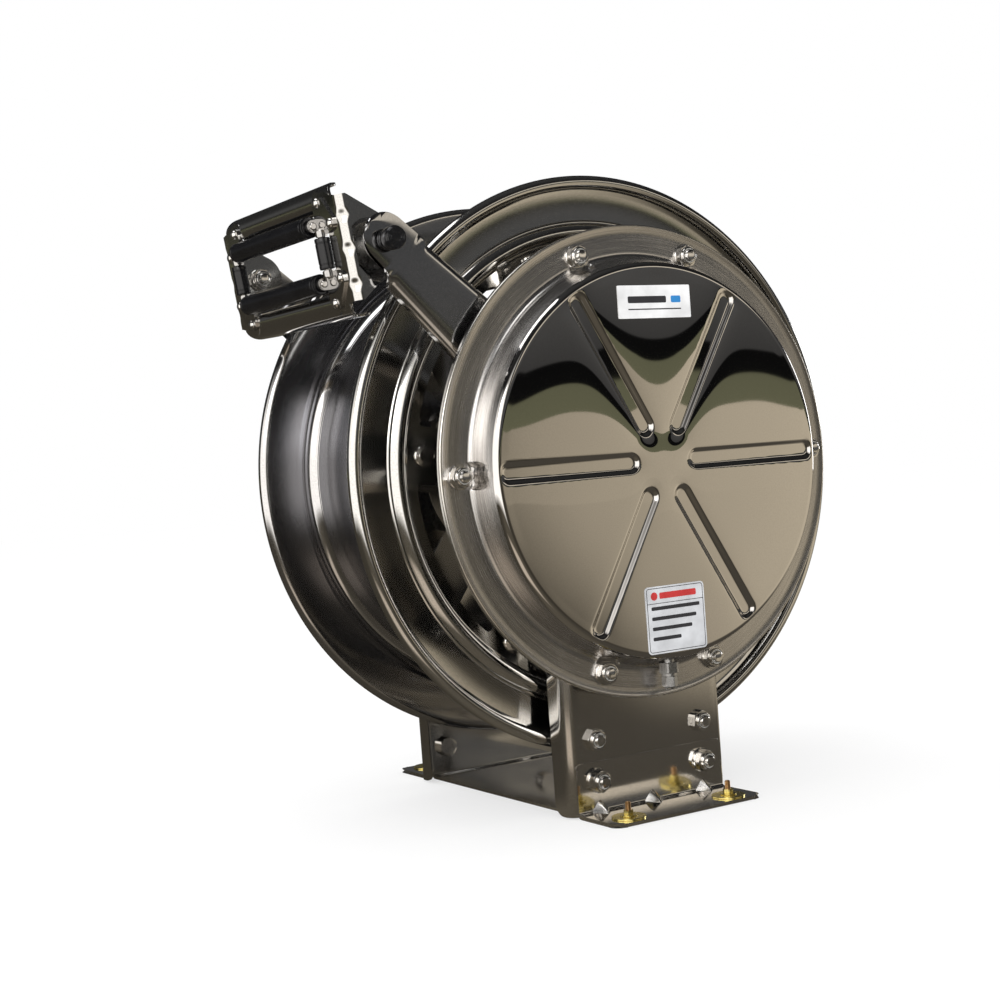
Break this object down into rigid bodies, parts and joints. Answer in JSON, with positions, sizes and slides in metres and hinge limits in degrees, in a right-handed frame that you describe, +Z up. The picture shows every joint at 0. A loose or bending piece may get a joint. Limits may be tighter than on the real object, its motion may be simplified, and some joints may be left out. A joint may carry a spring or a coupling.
{
  "type": "hose reel",
  "caption": "Spring rewind hose reel on a two-pedestal base, with a tilting four-roller hose guide on two arms and a side water inlet.",
  "frame": {"origin": "on the floor, directly below the middle of the drum", "axes": "+Z up, drum axis along Y with the spring case on the -Y side and the water inlet on the +Y side, guide head towards -X"},
  "size_m": [0.5172, 0.379, 0.545],
  "materials": {
    "polished_steel": "polished stainless sheet, brushed on the rim",
    "brushed_steel": "satin stainless sheet",
    "dark_polished_steel": "dark satin stainless sheet",
    "machined_steel": "turned steel",
    "bearing_iron": "machined casting",
    "bearing_bronze": "plain bearing bronze",
    "stainless_fasteners": "bright stainless",
    "spring_steel": "blued strip",
    "white_label": "gloss printed film",
    "grey_label": "gloss printed film",
    "black_plastic": "satin moulded",
    "black_rubber": "soft"
  },
  "bodies": {
    "frame": {"base_plate": "polished_steel", "near_pedestal": "polished_steel", "far_pedestal": "polished_steel", "near_foot_bracket": "polished_steel", "far_foot_bracket": "polished_steel", "base_bolts": "stainless_fasteners", "base_washers": "stainless_fasteners", "base_nuts": "stainless_fasteners", "near_arm": "dark_polished_steel", "far_arm": "dark_polished_steel", "arm_bolts": "stainless_fasteners", "arm_nuts": "stainless_fasteners", "far_arm_spacers": "machined_steel", "near_bearing_housing": "bearing_iron", "far_bearing_housing": "bearing_iron", "near_bush": "bearing_bronze", "far_bush": "bearing_bronze", "bearing_bolts": "stainless_fasteners", "case_back_plate": "brushed_steel", "case_cover": "polished_steel", "case_bolts": "stainless_fasteners", "case_washers": "stainless_fasteners", "case_nuts": "stainless_fasteners", "case_spacers": "machined_steel", "spring_anchor_bolt": "stainless_fasteners", "power_spring": "spring_steel", "name_plate": "white_label", "notice_plate": "grey_label", "pawl_pivot_bolt": "stainless_fasteners", "pawl_spacer": "machined_steel", "pawl_spring": "spring_steel", "pivot_spacer": "machined_steel"},
    "drum": {"near_flange": "polished_steel", "far_flange": "polished_steel", "drum_core": "brushed_steel", "drum_shaft": "machined_steel", "drum_hubs": "machined_steel", "drum_tie_bolts": "stainless_fasteners", "drum_tie_nuts": "stainless_fasteners", "spring_arbor": "machined_steel", "ratchet_wheel": "machined_steel", "outlet_pipe": "machined_steel", "hose_outlet": "machined_steel"},
    "swivel": {"swivel_body": "machined_steel", "swivel_seal": "black_rubber"},
    "head": {"head_near_side": "brushed_steel", "head_far_side": "brushed_steel", "head_top_plate": "brushed_steel", "head_bottom_plate": "brushed_steel", "roller_clips": "brushed_steel", "clip_rivets": "stainless_fasteners", "roller_axles": "machined_steel", "head_clamp_nut": "stainless_fasteners", "head_pivot_bolt": "stainless_fasteners"},
    "top_roller_body": {"top_roller": "black_plastic"},
    "bottom_roller_body": {"bottom_roller": "black_plastic"},
    "near_roller_body": {"near_roller": "black_plastic"},
    "far_roller_body": {"far_roller": "black_plastic"},
    "knob": {"clamp_knob": "black_plastic"},
    "pawl_body": {"pawl": "machined_steel"}
  },
  "joints": [
    {"name": "drum_spin", "type": "hinge", "parent": "frame", "child": "drum", "pos_m": [0, 0, 0.295], "axis": [0, 1, 0], "continuous": true},
    {"name": "swivel_turn", "type": "hinge", "parent": "frame", "child": "swivel", "pos_m": [0, 0.176, 0.295], "axis": [0, 1, 0], "continuous": true},
    {"name": "head_tilt", "type": "hinge", "parent": "frame", "child": "head", "pos_m": [-0.222, 0, 0.483], "axis": [0, 1, 0], "range_deg": [-6, 40]},
    {"name": "top_roller_spin", "type": "hinge", "parent": "head", "child": "top_roller_body", "pos_m": [-0.2587, 0, 0.50127], "axis": [0, 1, 0], "continuous": true},
    {"name": "bottom_roller_spin", "type": "hinge", "parent": "head", "child": "bottom_roller_body", "pos_m": [-0.25272, 0, 0.45586], "axis": [0, 1, 0], "continuous": true},
    {"name": "near_roller_spin", "type": "hinge", "parent": "head", "child": "near_roller_body", "pos_m": [-0.25293, -0.085, 0.47893], "axis": [-0.1305, 0, 0.9914], "continuous": true},
    {"name": "far_roller_spin", "type": "hinge", "parent": "head", "child": "far_roller_body", "pos_m": [-0.25293, 0.085, 0.47893], "axis": [-0.1305, 0, 0.9914], "continuous": true},
    {"name": "knob_turn", "type": "hinge", "parent": "frame", "child": "knob", "pos_m": [-0.222, -0.14, 0.483], "axis": [0, -1, 0], "continuous": true},
    {"name": "pawl_swing", "type": "hinge", "parent": "frame", "child": "pawl_body", "pos_m": [0.03389, 0.1025, 0.3723], "axis": [0, 1, 0], "range_deg": [-8, 10]}
  ]
}
